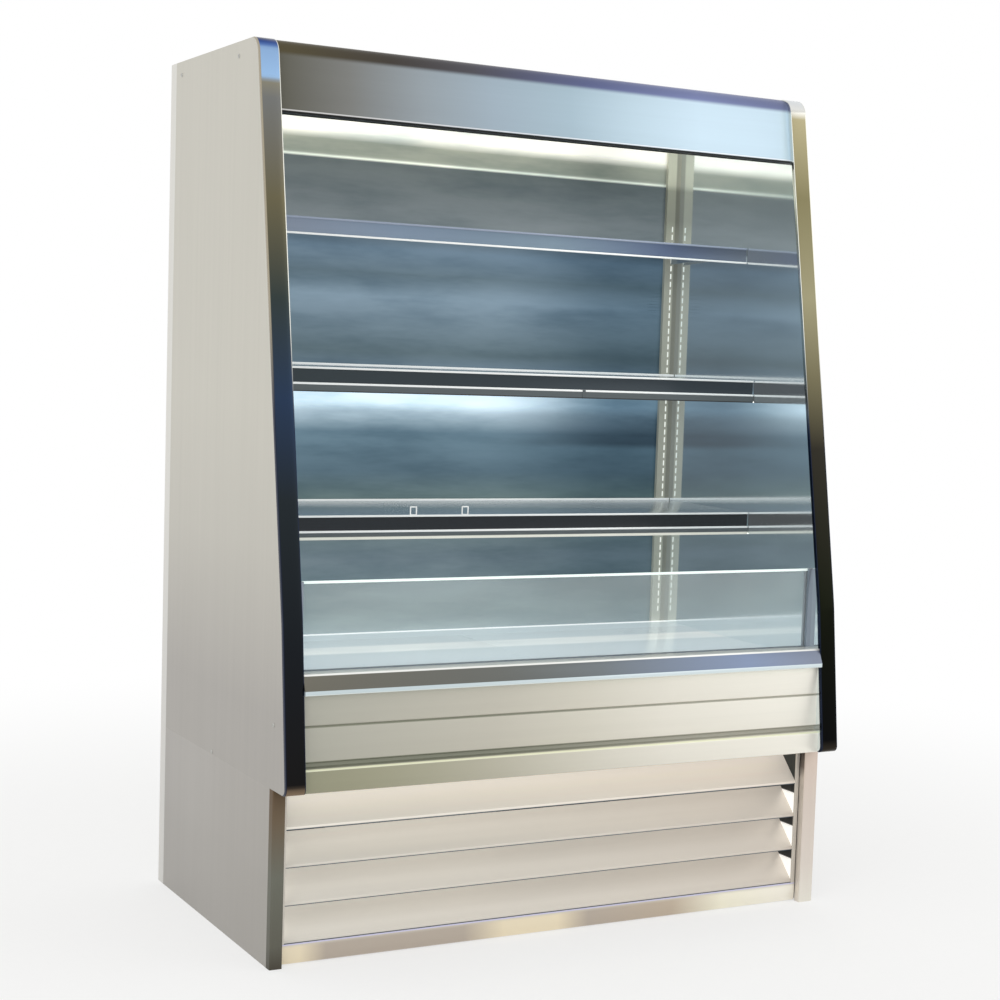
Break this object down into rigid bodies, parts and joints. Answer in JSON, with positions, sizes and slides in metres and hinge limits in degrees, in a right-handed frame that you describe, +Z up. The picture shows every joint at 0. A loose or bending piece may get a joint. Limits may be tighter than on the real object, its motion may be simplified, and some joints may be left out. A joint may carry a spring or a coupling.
{
  "type": "open multideck display fridge",
  "caption": "Tall open-fronted multideck display fridge in stainless steel, with tilting shelves, glass riser, lift-out deck and louvred machine base.",
  "frame": {"origin": "on the floor, under the middle of the whole cabinet", "axes": "+Z up, -Y towards the customer at the open front, +X to the right as seen from the front"},
  "size_m": [1.4132, 0.8872, 1.981],
  "materials": {
    "casing_steel": "satin brushed stainless",
    "mirror_trim": "mirror polished stainless",
    "liner_steel": "bright polished stainless",
    "back_wall_steel": "satin stainless",
    "upright_steel": "satin stainless",
    "shelf_steel": "bright polished stainless",
    "ticket_rail": "dark bright aluminium with a clear insert",
    "deck_steel": "bright polished stainless",
    "bumper_aluminium": "bright extruded aluminium",
    "glass": "clear toughened glass",
    "base_steel": "satin stainless",
    "frame_steel": "grey painted steel",
    "foam": "rigid foam",
    "honeycomb_plastic": "matt black plastic",
    "lamp": "opal diffuser",
    "lamp_holder_plastic": "white plastic",
    "coil_aluminium": "mill finish fins",
    "compressor_black": "black enamel",
    "copper": "bright copper pipe",
    "fan_plastic": "black moulded plastic",
    "screw_steel": "bright zinc"
  },
  "bodies": {
    "cabinet": {"air_honeycomb": "honeycomb_plastic", "back_panel_lower": "back_wall_steel", "back_panel_top": "back_wall_steel", "back_panel_upper": "back_wall_steel", "back_skin": "casing_steel", "base_frame": "frame_steel", "base_rear_panel": "base_steel", "base_sides": "base_steel", "bumper": "bumper_aluminium", "cable_gland": "fan_plastic", "canopy_ceiling": "liner_steel", "compressor": "compressor_black", "condensate_pan": "honeycomb_plastic", "condenser_coil": "coil_aluminium", "condenser_shroud": "frame_steel", "control_box": "frame_steel", "deck_rear_cover": "deck_steel", "deck_supports": "deck_steel", "end_liner_left": "liner_steel", "end_liner_right": "liner_steel", "end_skin_left": "casing_steel", "end_skin_right": "casing_steel", "end_trim_left": "mirror_trim", "end_trim_right": "mirror_trim", "evaporator_coil": "coil_aluminium", "evaporator_fan_plate": "frame_steel", "fascia": "casing_steel", "front_panel": "casing_steel", "inner_liner": "liner_steel", "insulation": "foam", "lamp_holders": "lamp_holder_plastic", "pipework": "copper", "rear_cover": "base_steel", "riser_channel": "liner_steel", "roof_skin": "casing_steel", "screws": "screw_steel", "uprights": "upright_steel"},
    "shelf_1": {"shelf_pan_1": "shelf_steel", "shelf_brackets_1": "shelf_steel", "price_rail_1": "ticket_rail"},
    "shelf_2": {"shelf_pan_2": "shelf_steel", "shelf_brackets_2": "shelf_steel", "price_rail_2": "ticket_rail", "shelf_lamp_2": "lamp"},
    "shelf_3": {"shelf_pan_3": "shelf_steel", "shelf_brackets_3": "shelf_steel", "price_rail_3": "ticket_rail", "shelf_lamp_3": "lamp"},
    "deck_pan_left": {"deck_pan_left": "deck_steel"},
    "deck_pan_right": {"deck_pan_right": "deck_steel"},
    "return_grille": {"return_grille": "deck_steel"},
    "glass_riser": {"glass_riser": "glass"},
    "louvre": {"louvre_frame": "base_steel", "louvre_slats": "base_steel"},
    "condenser_fan": {"condenser_fan": "fan_plastic"},
    "evaporator_fan_left": {"evaporator_fan_left": "fan_plastic"},
    "evaporator_fan_right": {"evaporator_fan_right": "fan_plastic"},
    "canopy_lamp": {"canopy_lamp": "lamp"},
    "thermostat_knob": {"thermostat_knob": "fan_plastic"},
    "light_switch": {"light_switch": "fan_plastic"}
  },
  "joints": [
    {"name": "shelf_1_tip", "type": "hinge", "parent": "cabinet", "child": "shelf_1", "pos_m": [0, 0.3245, 1.607], "axis": [-1, 0, 0], "range_deg": [0, 12]},
    {"name": "shelf_2_tip", "type": "hinge", "parent": "cabinet", "child": "shelf_2", "pos_m": [0, 0.3245, 1.271], "axis": [-1, 0, 0], "range_deg": [0, 12]},
    {"name": "shelf_3_tip", "type": "hinge", "parent": "cabinet", "child": "shelf_3", "pos_m": [0, 0.3245, 0.935], "axis": [-1, 0, 0], "range_deg": [0, 12]},
    {"name": "deck_pan_left_lift", "type": "slide", "parent": "cabinet", "child": "deck_pan_left", "axis": [0, 0, 1], "range_m": [0, 0.12]},
    {"name": "deck_pan_right_lift", "type": "slide", "parent": "cabinet", "child": "deck_pan_right", "axis": [0, 0, 1], "range_m": [0, 0.12]},
    {"name": "return_grille_lift", "type": "slide", "parent": "cabinet", "child": "return_grille", "axis": [0, 0, 1], "range_m": [0, 0.06]},
    {"name": "glass_riser_lift", "type": "slide", "parent": "cabinet", "child": "glass_riser", "axis": [0, 0, 1], "range_m": [0, 0.15]},
    {"name": "louvre_pull", "type": "slide", "parent": "cabinet", "child": "louvre", "axis": [0, -1, 0], "range_m": [0, 0.15]},
    {"name": "condenser_fan_spin", "type": "hinge", "parent": "cabinet", "child": "condenser_fan", "pos_m": [-0.33, -0.1445, 0.16], "axis": [0, 1, 0], "continuous": true},
    {"name": "evaporator_fan_left_spin", "type": "hinge", "parent": "cabinet", "child": "evaporator_fan_left", "pos_m": [-0.33, -0.1095, 0.5125], "axis": [0, 1, 0], "continuous": true},
    {"name": "evaporator_fan_right_spin", "type": "hinge", "parent": "cabinet", "child": "evaporator_fan_right", "pos_m": [0.33, -0.1095, 0.5125], "axis": [0, 1, 0], "continuous": true},
    {"name": "canopy_lamp_twist", "type": "hinge", "parent": "cabinet", "child": "canopy_lamp", "pos_m": [0, -0.0997, 1.862], "axis": [1, 0, 0], "range_deg": [0, 90]},
    {"name": "thermostat_turn", "type": "hinge", "parent": "cabinet", "child": "thermostat_knob", "pos_m": [0.38, -0.2585, 0.2], "axis": [0, -1, 0], "range_deg": [-135, 135]},
    {"name": "light_switch_rock", "type": "hinge", "parent": "cabinet", "child": "light_switch", "pos_m": [0.48, -0.2525, 0.2], "axis": [1, 0, 0], "range_deg": [-8, 8]}
  ]
}
